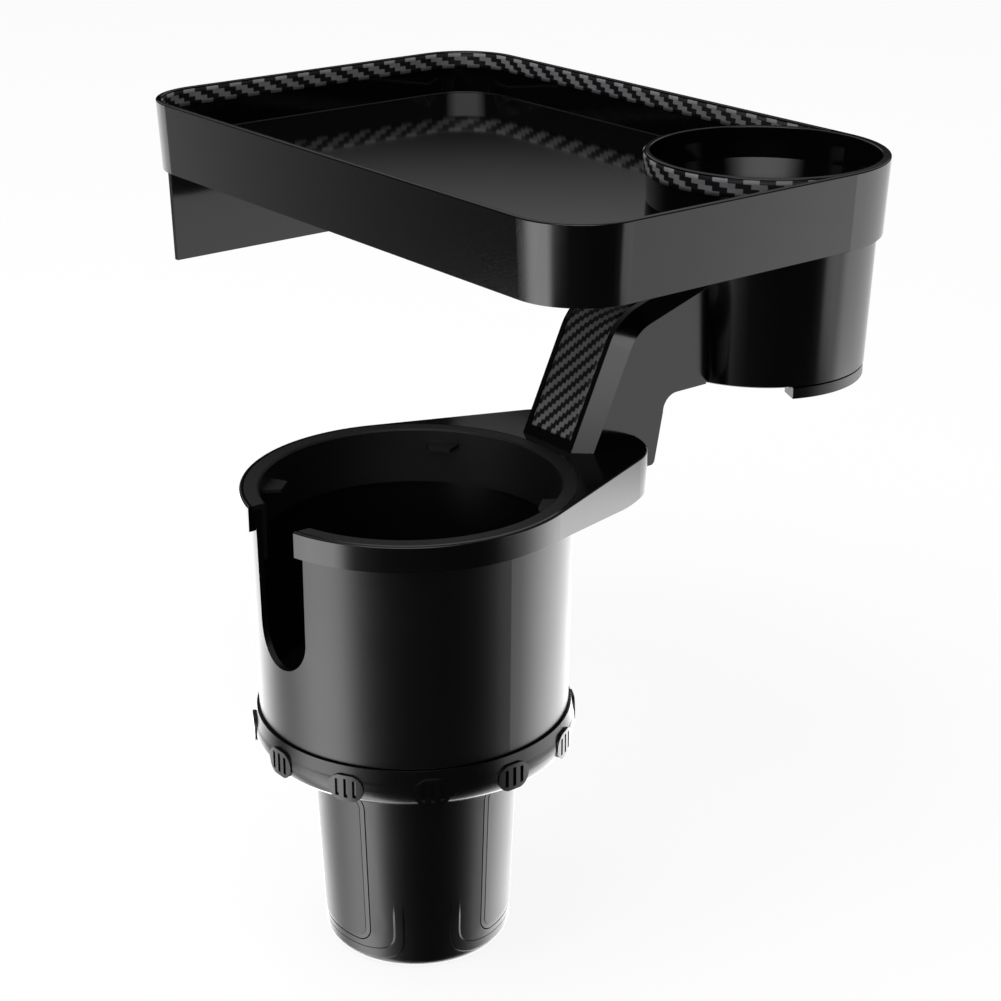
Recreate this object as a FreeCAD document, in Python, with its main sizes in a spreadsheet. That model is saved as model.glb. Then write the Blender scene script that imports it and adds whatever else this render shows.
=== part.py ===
"""Cup holder expander: a cup with a spreading plug, an arm and a swivelling tray.

Millimetres, +Z up.  The main cup's axis is the Z axis and the plug's foot stands on Z = 0.
The arm leaves the collar towards +Y and carries the second cup, about which the tray turns.
"""
import FreeCAD, Part
import math
import os
import Sketcher

V = FreeCAD.Vector
doc = FreeCAD.newDocument("CupHolderExpander")
sheet = doc.addObject("Spreadsheet::Sheet", "Dims")
rows = [0]


class Size:
    """A length that knows both its number and the sheet expression it comes from."""

    def __init__(self, value, text):
        self.value = float(value)
        self.text = text

    def joined(self, other, sign, value):
        return Size(value, "(%s %s %s)" % (self.text, sign, as_size(other).text))

    def __add__(self, other):
        return self.joined(other, "+", self.value + as_size(other).value)

    def __sub__(self, other):
        return self.joined(other, "-", self.value - as_size(other).value)

    def __mul__(self, other):
        return self.joined(other, "*", self.value * as_size(other).value)

    def __truediv__(self, other):
        return self.joined(other, "/", self.value / as_size(other).value)

    def __neg__(self):
        return Size(-self.value, "(0 - %s)" % self.text)


def as_size(number):
    return number if isinstance(number, Size) else Size(number, "%.10g" % number)


def dim(name, value, note):
    """Write one driving dimension to the sheet and return it."""
    rows[0] += 1
    row = rows[0]
    sheet.set("A%d" % row, name)
    sheet.set("B%d" % row, "%.10g" % value)
    sheet.set("C%d" % row, note)
    sheet.setAlias("B%d" % row, name)
    return Size(value, "Dims." + name)


def cosine(angle):
    return Size(math.cos(math.radians(angle.value)), "cos(%s * 1 deg)" % angle.text)


def sine(angle):
    return Size(math.sin(math.radians(angle.value)), "sin(%s * 1 deg)" % angle.text)


def tangent(angle):
    return sine(angle) / cosine(angle)


def root(size):
    return Size(math.sqrt(size.value), "sqrt(%s)" % size.text)


def bind(thing, name, size):
    """Give a property its number and tie it to the sheet."""
    size = as_size(size)
    setattr(thing, name, size.value)
    thing.setExpression(name, size.text)


def new_body(label):
    body = doc.addObject("PartDesign::Body", label)
    body.Label = label
    return body


def origin_of(body, role):
    for feature in body.Origin.OriginFeatures:
        if feature.Role == role:
            return feature
    raise ValueError(role)


def new_sketch(body, name, role="XY_Plane", height=None, across=None):
    """A sketch on one of the body's own planes, lifted by height and moved by across."""
    sketch = body.newObject("Sketcher::SketchObject", body.Label + "_" + name)
    sketch.AttachmentSupport = [(origin_of(body, role), "")]
    sketch.MapMode = "FlatFace"
    up = as_size(0.0 if height is None else height)
    side = as_size(0.0 if across is None else across)
    sketch.AttachmentOffset = FreeCAD.Placement(V(side.value, 0, up.value), FreeCAD.Rotation())
    if height is not None:
        sketch.setExpression("AttachmentOffset.Base.z", up.text)
    if across is not None:
        sketch.setExpression("AttachmentOffset.Base.x", side.text)
    return sketch


def fix_point(sketch, geo, pos, x, y):
    """Hold one end of a sketch element at its place."""
    for kind, axis, size in (("DistanceX", -2, as_size(x)), ("DistanceY", -1, as_size(y))):
        if size.value == 0.0:
            sketch.addConstraint(Sketcher.Constraint("PointOnObject", geo, pos, axis))
        else:
            index = sketch.addConstraint(Sketcher.Constraint(kind, -1, 1, geo, pos, size.value))
            sketch.setExpression("Constraints[%d]" % index, size.text)


def outline(sketch, points, arcs=None):
    """Draw a closed outline; arcs maps a point's index to (radius, middle x, middle y)."""
    arcs = arcs or {}
    count = len(points)
    flat = [V(as_size(x).value, as_size(y).value, 0) for x, y in points]
    ends = []
    for i in range(count):
        start, end = flat[i], flat[(i + 1) % count]
        if i in arcs:
            radius, middle_x, middle_y = arcs[i]
            curve = Part.Arc(start, V(middle_x, middle_y, 0), end)
        else:
            curve = Part.LineSegment(start, end)
        geo = sketch.addGeometry(curve, False)
        first = 1 if (sketch.getPoint(geo, 1) - start).Length < 1e-6 else 2
        ends.append((geo, first, 3 - first))
    for i in range(count):
        geo, first, last = ends[i]
        nxt = ends[(i + 1) % count]
        sketch.addConstraint(Sketcher.Constraint("Coincident", geo, last, nxt[0], nxt[1]))
        fix_point(sketch, geo, first, points[i][0], points[i][1])
    for i, (radius, middle_x, middle_y) in arcs.items():
        size = as_size(radius)
        index = sketch.addConstraint(Sketcher.Constraint("Radius", ends[i][0], size.value))
        sketch.setExpression("Constraints[%d]" % index, size.text)


def circle(sketch, x, y, radius):
    size = as_size(radius)
    centre = V(as_size(x).value, as_size(y).value, 0)
    geo = sketch.addGeometry(Part.Circle(centre, V(0, 0, 1), size.value), False)
    fix_point(sketch, geo, 3, x, y)
    index = sketch.addConstraint(Sketcher.Constraint("Radius", geo, size.value))
    sketch.setExpression("Constraints[%d]" % index, size.text)


def rounded_box(sketch, x0, x1, y0, y1, radii):
    """Rounded rectangle; radii are for the corners (x0,y0), (x1,y0), (x1,y1), (x0,y1)."""
    r0, r1, r2, r3 = [as_size(r) for r in radii]
    x0, x1, y0, y1 = [as_size(v) for v in (x0, x1, y0, y1)]
    points = [(x0 + r0, y0), (x1 - r1, y0), (x1, y0 + r1), (x1, y1 - r2),
              (x1 - r2, y1), (x0 + r3, y1), (x0, y1 - r3), (x0, y0 + r0)]
    cut = 1 - math.sqrt(0.5)
    arcs = {1: (r1, x1.value - cut * r1.value, y0.value + cut * r1.value),
            3: (r2, x1.value - cut * r2.value, y1.value - cut * r2.value),
            5: (r3, x0.value + cut * r3.value, y1.value - cut * r3.value),
            7: (r0, x0.value + cut * r0.value, y0.value + cut * r0.value)}
    outline(sketch, points, arcs)


def pad(body, sketch, length, reverse=False, midplane=False, taper=None):
    doc.recompute()
    feature = body.newObject("PartDesign::Pad", sketch.Label + "_pad")
    feature.Profile = sketch
    bind(feature, "Length", length)
    feature.Reversed = reverse
    feature.Midplane = midplane
    if taper is not None:
        bind(feature, "TaperAngle", taper)
    doc.recompute()
    return feature


def pocket(body, sketch, length, reverse=False, midplane=False, taper=None):
    doc.recompute()
    before = body.Shape.Volume
    feature = body.newObject("PartDesign::Pocket", sketch.Label + "_pocket")
    feature.Profile = sketch
    bind(feature, "Length", length)
    feature.Reversed = reverse
    feature.Midplane = midplane
    if taper is not None:
        bind(feature, "TaperAngle", taper)
    doc.recompute()
    if body.Shape.Volume >= before - 1e-6:
        raise ValueError("nothing cut by " + feature.Label)
    return feature


def turn(body, sketch, cutting=False, angle=None):
    """Revolve a half profile about the sketch's own vertical axis."""
    doc.recompute()
    kind = "PartDesign::Groove" if cutting else "PartDesign::Revolution"
    before = body.Shape.Volume if cutting else 0.0
    feature = body.newObject(kind, sketch.Label + "_turn")
    feature.Profile = sketch
    feature.ReferenceAxis = (sketch, ["V_Axis"])
    feature.Angle = 360.0
    if angle is not None:
        feature.Midplane = True
        bind(feature, "Angle", angle)
    doc.recompute()
    if cutting and body.Shape.Volume >= before - 1e-6:
        raise ValueError("nothing cut by " + feature.Label)
    return feature


def polar(body, features, count):
    doc.recompute()
    feature = body.newObject("PartDesign::PolarPattern", body.Label + "_pattern")
    feature.Originals = features
    feature.Axis = (origin_of(body, "Z_Axis"), [""])
    feature.Angle = 360.0
    feature.Occurrences = count
    body.Tip = feature
    doc.recompute()
    return feature


def edge_names(shape, test):
    return ["Edge%d" % (i + 1) for i, edge in enumerate(shape.Edges) if test(edge)]


def fillet(body, base, radius, test):
    """Round the edges of base that pass the test."""
    doc.recompute()
    names = edge_names(base.Shape, test)
    if not names:
        raise ValueError("no edge for a fillet on " + base.Label)
    feature = body.newObject("PartDesign::Fillet", base.Label + "_round")
    feature.Base = (base, names)
    bind(feature, "Radius", radius)
    doc.recompute()
    return feature


def chamfer(body, base, width, test):
    doc.recompute()
    names = edge_names(base.Shape, test)
    if not names:
        raise ValueError("no edge for a chamfer on " + base.Label)
    feature = body.newObject("PartDesign::Chamfer", base.Label + "_bevel")
    feature.Base = (base, names)
    bind(feature, "Size", width)
    doc.recompute()
    return feature


def swing(body, heading):
    """Turn a finished body about the cup's axis."""
    body.Placement = FreeCAD.Placement(V(0, 0, 0), FreeCAD.Rotation(V(0, 0, 1), heading))
    doc.recompute()


def near(a, b, tolerance=0.02):
    return abs(a - as_size(b).value) < tolerance


# The main cup
cup_outer = dim("cup_outer", 52.4, "radius of the cup wall at its top")
cup_foot = dim("cup_foot", 51.5, "radius of the cup wall just over the adjuster ring")
cup_wall = dim("cup_wall", 2.1, "thickness of the cup wall")
cup_top = dim("cup_top", 162.2, "height of the wall's upper end")
cup_step_top = dim("cup_step_top", 86.9, "height of the step that the ring nests in")
cup_step = dim("cup_step", 43.0, "radius of the cup inside the ring")
ledge_rise = dim("ledge_rise", 4.6, "height of the inside slope over the step")
cup_under = dim("cup_under", 71.9, "height of the cup's underside")
cup_floor = dim("cup_floor", 4.0, "thickness of the cup's floor")
slot_half = dim("slot_half", 13.3, "half width of the handle slot at the top")
slot_foot_half = dim("slot_foot_half", 12.6, "half width of the slot at its round end")
slot_centre = dim("slot_centre", 124.9, "height of the centre of the slot's round end")
screw_radius = dim("screw_radius", 1.5, "radius of every screw's thread")
screw_head = dim("screw_head", 2.8, "radius of every screw's head")
head_height = dim("head_height", 1.8, "height of every screw's head")
thread_fit = dim("thread_fit", 0.02, "radial room of a thread in its pilot hole")
hole_fit = dim("hole_fit", 0.25, "radial room of a screw in a clearance hole")
base_screw_circle = dim("base_screw_circle", 8.0, "radius of the circle of the plug's screws")

cup_body = new_body("cup_body")
sketch = new_sketch(cup_body, "wall", "XZ_Plane")
outline(sketch, [(0, cup_under), (cup_step, cup_under), (cup_step, cup_step_top), (cup_foot, cup_step_top),
                 (cup_outer, cup_top), (cup_outer - cup_wall, cup_top),
                 (cup_foot - cup_wall, cup_step_top + ledge_rise), (cup_step - cup_wall, cup_step_top + 1),
                 (cup_step - cup_wall, cup_under + cup_floor + 3),
                 (cup_step - cup_wall - 3, cup_under + cup_floor), (0, cup_under + cup_floor)])
turn(cup_body, sketch)
sketch = new_sketch(cup_body, "slot", "XZ_Plane")
outline(sketch, [(-slot_half, cup_top + 5), (-slot_foot_half, slot_centre), (0, slot_centre - slot_foot_half),
                 (slot_foot_half, slot_centre), (slot_half, cup_top + 5)],
        {1: (slot_foot_half, -slot_foot_half.value * math.sqrt(0.5),
             slot_centre.value - slot_foot_half.value * math.sqrt(0.5)),
         2: (slot_foot_half, slot_foot_half.value * math.sqrt(0.5),
             slot_centre.value - slot_foot_half.value * math.sqrt(0.5))})
pocket(cup_body, sketch, cup_outer + 5, reverse=True)
sketch = new_sketch(cup_body, "pilot", "XY_Plane", cup_under)
screw_heading = dim("screw_heading", 30.0, "heading of the plug's first screw")
circle(sketch, base_screw_circle * cosine(screw_heading), base_screw_circle * sine(screw_heading),
       screw_radius + thread_fit)
hole = pocket(cup_body, sketch, cup_floor - 0.5, reverse=True)
polar(cup_body, [hole], 3)

# The collar round the cup's mouth, with the plate that carries the arm
collar_outer = dim("collar_outer", 55.0, "radius of the collar's outside")
collar_top = dim("collar_top", 164.0, "height of the collar's top face")
collar_height = dim("collar_height", 8.5, "height of the collar")
collar_lean = dim("collar_lean", 21.5, "angle of the plate's sides to the arm's direction")
collar_end = dim("collar_end", 84.5, "distance of the plate's end from the cup's axis")
collar_corner = dim("collar_corner", 21.0, "radius of the plate's end corners")
collar_skin = dim("collar_skin", 2.6, "thickness of the plate's top and sides")
plate_drop = dim("plate_drop", 6.1, "how far the plate's sides reach below the collar's ring")
drop_from = dim("drop_from", 15.0, "distance from the cup's axis where the plate starts to deepen")
drop_to = dim("drop_to", 57.0, "distance from the cup's axis where the lower edge starts to curve up")
drop_round = dim("drop_round", 58.9, "radius of the lower edge near the plate's end")
collar_fit = dim("collar_fit", 0.05, "radial room between the collar and the cup wall")
collar_slot = dim("collar_slot", 12.8, "half width of the slot through the collar")
flange_outer = dim("flange_outer", 53.6, "radius of the liner's flange")

side_x = collar_outer * cosine(collar_lean)
side_y = collar_outer * sine(collar_lean)
end_y = collar_end - collar_corner
end_x = (collar_outer - collar_corner - end_y * sine(collar_lean)) / cosine(collar_lean)
corner_x = end_x + collar_corner * cosine(collar_lean)
corner_y = end_y + collar_corner * sine(collar_lean)
corner_turn = math.radians((90 + collar_lean.value) / 2)
corner_mid_x = end_x.value + collar_corner.value * math.cos(corner_turn)
corner_mid_y = end_y.value + collar_corner.value * math.sin(corner_turn)

collar = new_body("collar")
ring_low = collar_top - collar_height
plate_low = ring_low - plate_drop
sketch = new_sketch(collar, "plan", "XY_Plane", plate_low)
outline(sketch, [(0, -collar_outer), (side_x, side_y), (corner_x, corner_y), (end_x, collar_end),
                 (-end_x, collar_end), (-corner_x, corner_y), (-side_x, side_y)],
        {0: (collar_outer, collar_outer.value * math.cos(math.radians(-30)),
             collar_outer.value * math.sin(math.radians(-30))),
         2: (collar_corner, corner_mid_x, corner_mid_y),
         4: (collar_corner, -corner_mid_x, corner_mid_y),
         6: (collar_outer, -collar_outer.value * math.cos(math.radians(-30)),
             collar_outer.value * math.sin(math.radians(-30)))})
pad(collar, sketch, collar_height + plate_drop)
sketch = new_sketch(collar, "lower_edge", "YZ_Plane")
outline(sketch, [(-collar_outer - 5, plate_low - 2), (-collar_outer - 5, ring_low), (drop_from, ring_low),
                 (drop_to, plate_low + 0.9), (collar_end + 0.1, plate_low + 3.2),
                 (collar_end + 5, plate_low - 2)],
        {3: (drop_round, (drop_to.value + collar_end.value) / 2, plate_low.value + 0.42)})
pocket(collar, sketch, collar_outer * 2 + 10, midplane=True)
sketch = new_sketch(collar, "bore", "XY_Plane", plate_low)
circle(sketch, 0, 0, cup_outer + collar_fit)
pocket(collar, sketch, collar_height + plate_drop, reverse=True)
sketch = new_sketch(collar, "seat", "XY_Plane", collar_top)
circle(sketch, 0, 0, flange_outer + collar_fit)
pocket(collar, sketch, collar_top - cup_top)
hollow_back = collar_end - collar_skin
sketch = new_sketch(collar, "hollow", "XY_Plane", plate_low)
outline(sketch, [(-side_x * 0.62, side_y + 26), (side_x * 0.62, side_y + 26),
                 (end_x * 0.8, hollow_back), (-end_x * 0.8, hollow_back)])
hollow = pocket(collar, sketch, collar_height + plate_drop - collar_skin, reverse=True)
sketch = new_sketch(collar, "slot", "XY_Plane", collar_top)
outline(sketch, [(-collar_slot, -collar_outer - 5), (collar_slot, -collar_outer - 5),
                 (collar_slot, -cup_outer / 2), (-collar_slot, -cup_outer / 2)])
pocket(collar, sketch, collar_height)
arm_screw_near = dim("arm_screw_near", 69.0, "distance of the arm's nearer screw from the cup's axis")
arm_screw_far = dim("arm_screw_far", 78.5, "distance of the arm's farther screw from the cup's axis")
sketch = new_sketch(collar, "screw_holes", "XY_Plane", collar_top)
circle(sketch, 0, arm_screw_near, screw_radius + hole_fit)
circle(sketch, 0, arm_screw_far, screw_radius + hole_fit)
holes = pocket(collar, sketch, collar_skin)
edge_round = dim("edge_round", 0.6, "rounding of the collar's outer edges")
fillet(collar, holes, edge_round,
       lambda e: near(e.BoundBox.ZMin, collar_top) and near(e.BoundBox.ZMax, collar_top)
       and math.hypot(e.CenterOfMass.x, e.CenterOfMass.y) > 30
       and e.Length > 12 and max(math.hypot(v.X, v.Y) for v in e.Vertexes) > flange_outer.value + 1)

# The rubber liner in the mouth
liner_inner = dim("liner_inner", 48.7, "radius inside the liner")
liner_fit = dim("liner_fit", 0.05, "radial room between the liner and the cup wall")
liner_foot = dim("liner_foot", 144.7, "height of the liner's lower end")
fin_reach = dim("fin_reach", 6.0, "how far a fin reaches inward")
fin_width = dim("fin_width", 12.0, "width of a fin at its root")
fin_height = dim("fin_height", 158.0, "height of the fins")
fin_skin = dim("fin_skin", 1.2, "thickness of a fin")
fin_turn = dim("fin_turn", 41.0, "angle of the first fin from the X axis")

wall_slope = (cup_outer - cup_foot) / (cup_top - cup_step_top - ledge_rise)
cup_inner_top = cup_outer - cup_wall
liner_low_radius = cup_inner_top - (cup_top - liner_foot) * wall_slope - liner_fit
cup_liner = new_body("cup_liner")
sketch = new_sketch(cup_liner, "wall", "XZ_Plane")
outline(sketch, [(liner_inner, liner_foot), (liner_low_radius, liner_foot),
                 (cup_inner_top - liner_fit, cup_top), (flange_outer, cup_top),
                 (flange_outer, collar_top - 0.1), (liner_inner + 0.6, collar_top - 0.1),
                 (liner_inner, collar_top - 0.7)])
turn(cup_liner, sketch)
root_x = root(liner_inner * liner_inner - fin_width * fin_width / 4)
fins = []
for index in range(4):
    angle = fin_turn + 90.0 * index
    sketch = new_sketch(cup_liner, "fin%d" % index, "XY_Plane", fin_height)
    along_x, along_y = cosine(angle), sine(angle)
    corners = [(liner_inner + 0.8, -fin_width / 2), (liner_inner + 0.8, fin_width / 2),
               (root_x - fin_reach, fin_width * 0.3), (root_x - fin_reach, -fin_width * 0.3)]
    outline(sketch, [(x * along_x - y * along_y, x * along_y + y * along_x) for x, y in corners])
    pad(cup_liner, sketch, fin_skin)
sketch = new_sketch(cup_liner, "slot", "XY_Plane", collar_top)
outline(sketch, [(-collar_slot, -collar_outer - 5), (collar_slot, -collar_outer - 5),
                 (collar_slot, -cup_outer / 2), (-collar_slot, -cup_outer / 2)])
pocket(cup_liner, sketch, collar_top - liner_foot)

# The tapered plug that drops into the car's own cup holder
core_foot = dim("core_foot", 31.5, "radius of the plug at its foot")
core_head = dim("core_head", 34.4, "radius of the plug at its head")
core_wall = dim("core_wall", 2.4, "thickness of the plug's wall")
core_plate_low = dim("core_plate_low", 66.1, "height of the underside of the plug's top plate")
core_plate = dim("core_plate", 2.5, "thickness of the plug's top plate")
core_boss = dim("core_boss", 14.0, "radius of the boss that meets the cup's floor")
core_pillar = dim("core_pillar", 12.0, "radius of the pillar that takes the screws")
pillar_foot = dim("pillar_foot", 58.0, "height of the pillar's lower end")
window_foot = dim("window_foot", 8.0, "height of the lower edge of a foot's window")
window_top = dim("window_top", 65.4, "height of the upper edge of a foot's window")
window_span = dim("window_span", 49.6, "angle that a foot's window spans")
foot_edge_gap = dim("foot_edge_gap", 0.4, "gap round a foot in its window")
plug_round = dim("plug_round", 3.5, "rounding of the plug's foot")

core_top = core_plate_low + core_plate
core_slope = (core_head - core_foot) / core_top
base_core = new_body("base_core")
sketch = new_sketch(base_core, "shell", "XZ_Plane")
outline(sketch, [(0, 0), (core_foot, 0), (core_head, core_top), (core_boss, core_top), (core_boss, cup_under),
                 (0, cup_under), (0, pillar_foot), (core_pillar, pillar_foot), (core_pillar, core_plate_low),
                 (core_head - core_wall - 0.1, core_plate_low), (core_foot - core_wall, core_wall),
                 (0, core_wall)])
shell = turn(base_core, sketch)
shell = fillet(base_core, shell, plug_round,
               lambda e: near(e.BoundBox.ZMax, 0.0) and e.Length > 100)
window_out = core_foot + core_slope * window_foot + 6
sketch = new_sketch(base_core, "window", "XZ_Plane")
outline(sketch, [(core_foot - core_wall - 3, window_foot), (window_out, window_foot),
                 (window_out, window_top), (core_foot - core_wall - 3, window_top)])
window = turn(base_core, sketch, cutting=True, angle=window_span)
pin_radius = dim("pin_radius", 2.0, "radius of a foot's pin")
pin_gap = dim("pin_gap", 0.35, "room of a pin in the slots")
pin_near = dim("pin_near", 20.0, "distance of a pin from the axis with the feet in")
foot_travel = dim("foot_travel", 7.0, "how far each foot spreads")
sketch = new_sketch(base_core, "pin_slot", "XY_Plane", core_top)
slot_r = pin_radius + pin_gap
slot_far = pin_near + foot_travel + slot_r
outline(sketch, [(pin_near, -slot_r), (slot_far, -slot_r), (slot_far, slot_r),
                 (pin_near, slot_r), (pin_near - slot_r, 0)],
        {3: (slot_r, pin_near.value - slot_r.value * math.sqrt(0.5), slot_r.value * math.sqrt(0.5)),
         4: (slot_r, pin_near.value - slot_r.value * math.sqrt(0.5), -slot_r.value * math.sqrt(0.5))})
pin_slot = pocket(base_core, sketch, core_plate)
sketch = new_sketch(base_core, "screw_hole", "XY_Plane", cup_under)
circle(sketch, base_screw_circle, 0, screw_radius + hole_fit)
screw_hole = pocket(base_core, sketch, cup_under - pillar_foot)
plug = polar(base_core, [window, pin_slot, screw_hole], 3)

# The three feet that spread, each with its rubber pad
foot_skin = dim("foot_skin", 3.2, "thickness of a foot's wall")
foot_plate = dim("foot_plate", 3.4, "thickness of the plate that guides a foot")
foot_inner = dim("foot_inner", 15.2, "radius of the inner end of the guide plate")
foot_side_gap = dim("foot_side_gap", 1.5, "angle by which a foot is narrower than its window")
foot_corner = dim("foot_corner", 5.0, "radius of a foot's corners")
pad_frame = dim("pad_frame", 1.5, "width of the frame round a foot's rubber pad")
pad_depth = dim("pad_depth", 1.4, "depth of the rubber pad")
pad_fit = dim("pad_fit", 0.1, "gap round the rubber pad")

foot_low = window_foot + foot_edge_gap
foot_top = window_top - foot_edge_gap
foot_span = window_span - foot_side_gap
pad_low = foot_low + pad_frame
pad_top = foot_top - pad_frame
pad_span = foot_span - pad_frame * 2 / core_foot * 57.29578


def on_cone(height, inset=0.0):
    """Radius of the plug's outside at a height, less an inset."""
    return core_foot + core_slope * height - inset


def upright_corner(edge):
    """True for a panel's four corner edges, which run radially."""
    if len(edge.Vertexes) != 2:
        return False
    a, b = edge.Vertexes
    radial = abs(math.hypot(a.X, a.Y) - math.hypot(b.X, b.Y))
    outer = max(math.hypot(a.X, a.Y), math.hypot(b.X, b.Y)) > core_foot.value - 1
    return outer and radial > 0.8 * edge.Length and abs(a.Z - b.Z) < 0.5


def at_height(edge, low, high):
    """True for an edge that lies level at one of two heights."""
    middle = edge.CenterOfMass.z
    return near(middle, low, 0.1) or near(middle, high, 0.1)


fillet(base_core, plug, foot_corner + foot_edge_gap,
       lambda e: upright_corner(e) and at_height(e, window_foot, window_top))
swing(base_core, 30.0)
guide_span = foot_span - (foot_corner + 1) * 2 / core_foot * 57.29578

for label, heading in (("a", -90.0), ("b", 30.0), ("c", 150.0)):
    foot = new_body("foot_" + label)
    sketch = new_sketch(foot, "section", "XZ_Plane")
    outline(sketch, [(on_cone(foot_low, foot_skin), foot_low), (on_cone(foot_low), foot_low),
                     (on_cone(foot_top), foot_top), (on_cone(foot_top, foot_skin), foot_top)])
    part = turn(foot, sketch, angle=foot_span)
    fillet(foot, part, foot_corner, upright_corner)
    sketch = new_sketch(foot, "guide", "XZ_Plane")
    outline(sketch, [(foot_inner, foot_top - foot_plate),
                     (on_cone(foot_top, foot_skin / 2), foot_top - foot_plate),
                     (on_cone(foot_top, foot_skin / 2), foot_top), (foot_inner, foot_top)])
    turn(foot, sketch, angle=guide_span)
    sketch = new_sketch(foot, "pad_seat", "XZ_Plane")
    outline(sketch, [(on_cone(pad_low, pad_depth), pad_low), (on_cone(pad_low, -3.0), pad_low),
                     (on_cone(pad_top, -3.0), pad_top), (on_cone(pad_top, pad_depth), pad_top)])
    seat = turn(foot, sketch, cutting=True, angle=pad_span)
    fillet(foot, seat, foot_corner - pad_frame + pad_fit,
           lambda e: upright_corner(e) and at_height(e, pad_low, pad_top))
    sketch = new_sketch(foot, "pin", "XY_Plane", foot_top - 1)
    circle(sketch, pin_near, 0, pin_radius)
    pad(foot, sketch, core_top + 2.6 - foot_top + 1)
    swing(foot, heading)

    rubber = new_body("foot_pad_" + label)
    sketch = new_sketch(rubber, "section", "XZ_Plane")
    outline(sketch, [(on_cone(pad_low + pad_fit, pad_depth), pad_low + pad_fit),
                     (on_cone(pad_low + pad_fit, -0.15), pad_low + pad_fit),
                     (on_cone(pad_top - pad_fit, -0.15), pad_top - pad_fit),
                     (on_cone(pad_top - pad_fit, pad_depth), pad_top - pad_fit)])
    part = turn(rubber, sketch, angle=pad_span - pad_fit * 2 / core_foot * 57.29578)
    fillet(rubber, part, foot_corner - pad_frame, upright_corner)
    swing(rubber, heading)

# The adjuster ring, whose slots drive the feet outward
ring_outer = dim("ring_outer", 53.6, "greatest radius of the adjuster ring")
ring_top = dim("ring_top", 86.6, "height of the ring's upper lip")
ring_fit = dim("ring_fit", 0.4, "radial room between the ring and the cup")
web_low = dim("web_low", 69.0, "height of the underside of the ring's web")
web_skin = dim("web_skin", 2.5, "thickness of the ring's web")
ring_travel = dim("ring_travel", 70.0, "angle the ring turns to spread the feet")
grip_height = dim("grip_height", 79.4, "height of the centre of the grip pads")
grip_wide = dim("grip_wide", 6.9, "half width of a grip pad")
grip_tall = dim("grip_tall", 4.5, "half height of a grip pad")
grip_out = dim("grip_out", 54.0, "distance of a grip pad's face from the axis")
bar_half = dim("bar_half", 0.65, "half width of the slots between a grip's bars")
bar_pitch = dim("bar_pitch", 3.0, "spacing of the slots in a grip pad")

adjuster_ring = new_body("adjuster_ring")
sketch = new_sketch(adjuster_ring, "section", "XZ_Plane")
outline(sketch, [(core_boss + ring_fit, web_low), (ring_outer - 11.5, web_low),
                 (ring_outer - 4, web_low + 4.2), (ring_outer - 1.1, web_low + 6.6),
                 (ring_outer, web_low + 10.2), (ring_outer - 0.4, web_low + 13.4),
                 (ring_outer - 1.1, ring_top), (cup_foot + ring_fit, ring_top),
                 (cup_step + ring_fit, ring_top - 0.4), (cup_step + ring_fit, web_low + web_skin),
                 (core_boss + ring_fit, web_low + web_skin)],
        {2: (8.0, ring_outer.value - 2.41, web_low.value + 5.23),
         3: (10.0, ring_outer.value - 0.38, web_low.value + 8.35),
         4: (12.0, ring_outer.value - 0.09, web_low.value + 11.81)})
ring = turn(adjuster_ring, sketch)
grip_spare = 0.6
sketch = new_sketch(adjuster_ring, "grip", "XZ_Plane", ring_outer - 5)
grip_flat = grip_wide - grip_tall
outline(sketch, [(-grip_flat, grip_height + grip_tall), (-grip_flat, grip_height - grip_tall),
                 (grip_flat, grip_height - grip_tall), (grip_flat, grip_height + grip_tall)],
        {0: (grip_tall * 1.02, -grip_wide.value + 0.3, grip_height.value),
         2: (grip_tall * 1.02, grip_wide.value - 0.3, grip_height.value)})
grip = pad(adjuster_ring, sketch, grip_out - ring_outer + 5 + grip_spare)
sketch = new_sketch(adjuster_ring, "bars", "XZ_Plane", grip_out + grip_spare)
for place in (-1, 0, 1):
    centre = bar_pitch * place
    tall = grip_tall * (0.74 if place == 0 else 0.66)
    outline(sketch, [(centre - bar_half, grip_height - tall), (centre + bar_half, grip_height - tall),
                     (centre + bar_half, grip_height + tall), (centre - bar_half, grip_height + tall)])
bars = pocket(adjuster_ring, sketch, grip_spare + 0.9)
polar(adjuster_ring, [grip, bars], 12)
sketch = new_sketch(adjuster_ring, "grip_faces", "XZ_Plane")
outline(sketch, [(grip_out, grip_height - grip_tall - 1), (grip_out + 4, grip_height - grip_tall - 1),
                 (grip_out + 4, grip_height + grip_tall + 1), (grip_out, grip_height + grip_tall + 1)])
turn(adjuster_ring, sketch, cutting=True)
sketch = new_sketch(adjuster_ring, "cam_slot", "XY_Plane", web_low)
half_turn = ring_travel / 2


def on_spiral(share, aside):
    """Point of the drive slot at a share of the ring's travel, moved aside from its middle."""
    angle = -(ring_travel * share)
    reach = pin_near + foot_travel * share + aside
    return reach * cosine(angle), reach * sine(angle)


slot_over = 0.05
start_in, start_out = on_spiral(-slot_over, -slot_r), on_spiral(-slot_over, slot_r)
end_in, end_out = on_spiral(1 + slot_over, -slot_r), on_spiral(1 + slot_over, slot_r)
mid_in, mid_out = on_spiral(0.5, -slot_r), on_spiral(0.5, slot_r)


def arc_radius(a, b, c):
    """Radius of the arc through three points, as an expression of their places."""
    ax, ay = a[0] - c[0], a[1] - c[1]
    bx, by = b[0] - c[0], b[1] - c[1]
    ab = root((a[0] - b[0]) * (a[0] - b[0]) + (a[1] - b[1]) * (a[1] - b[1]))
    ac = root(ax * ax + ay * ay)
    bc = root(bx * bx + by * by)
    cross = ax * by - ay * bx
    area = root(cross * cross)
    return ab * ac * bc / (area * 2)


end_bulge = 0.8 * slot_r.value


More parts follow.
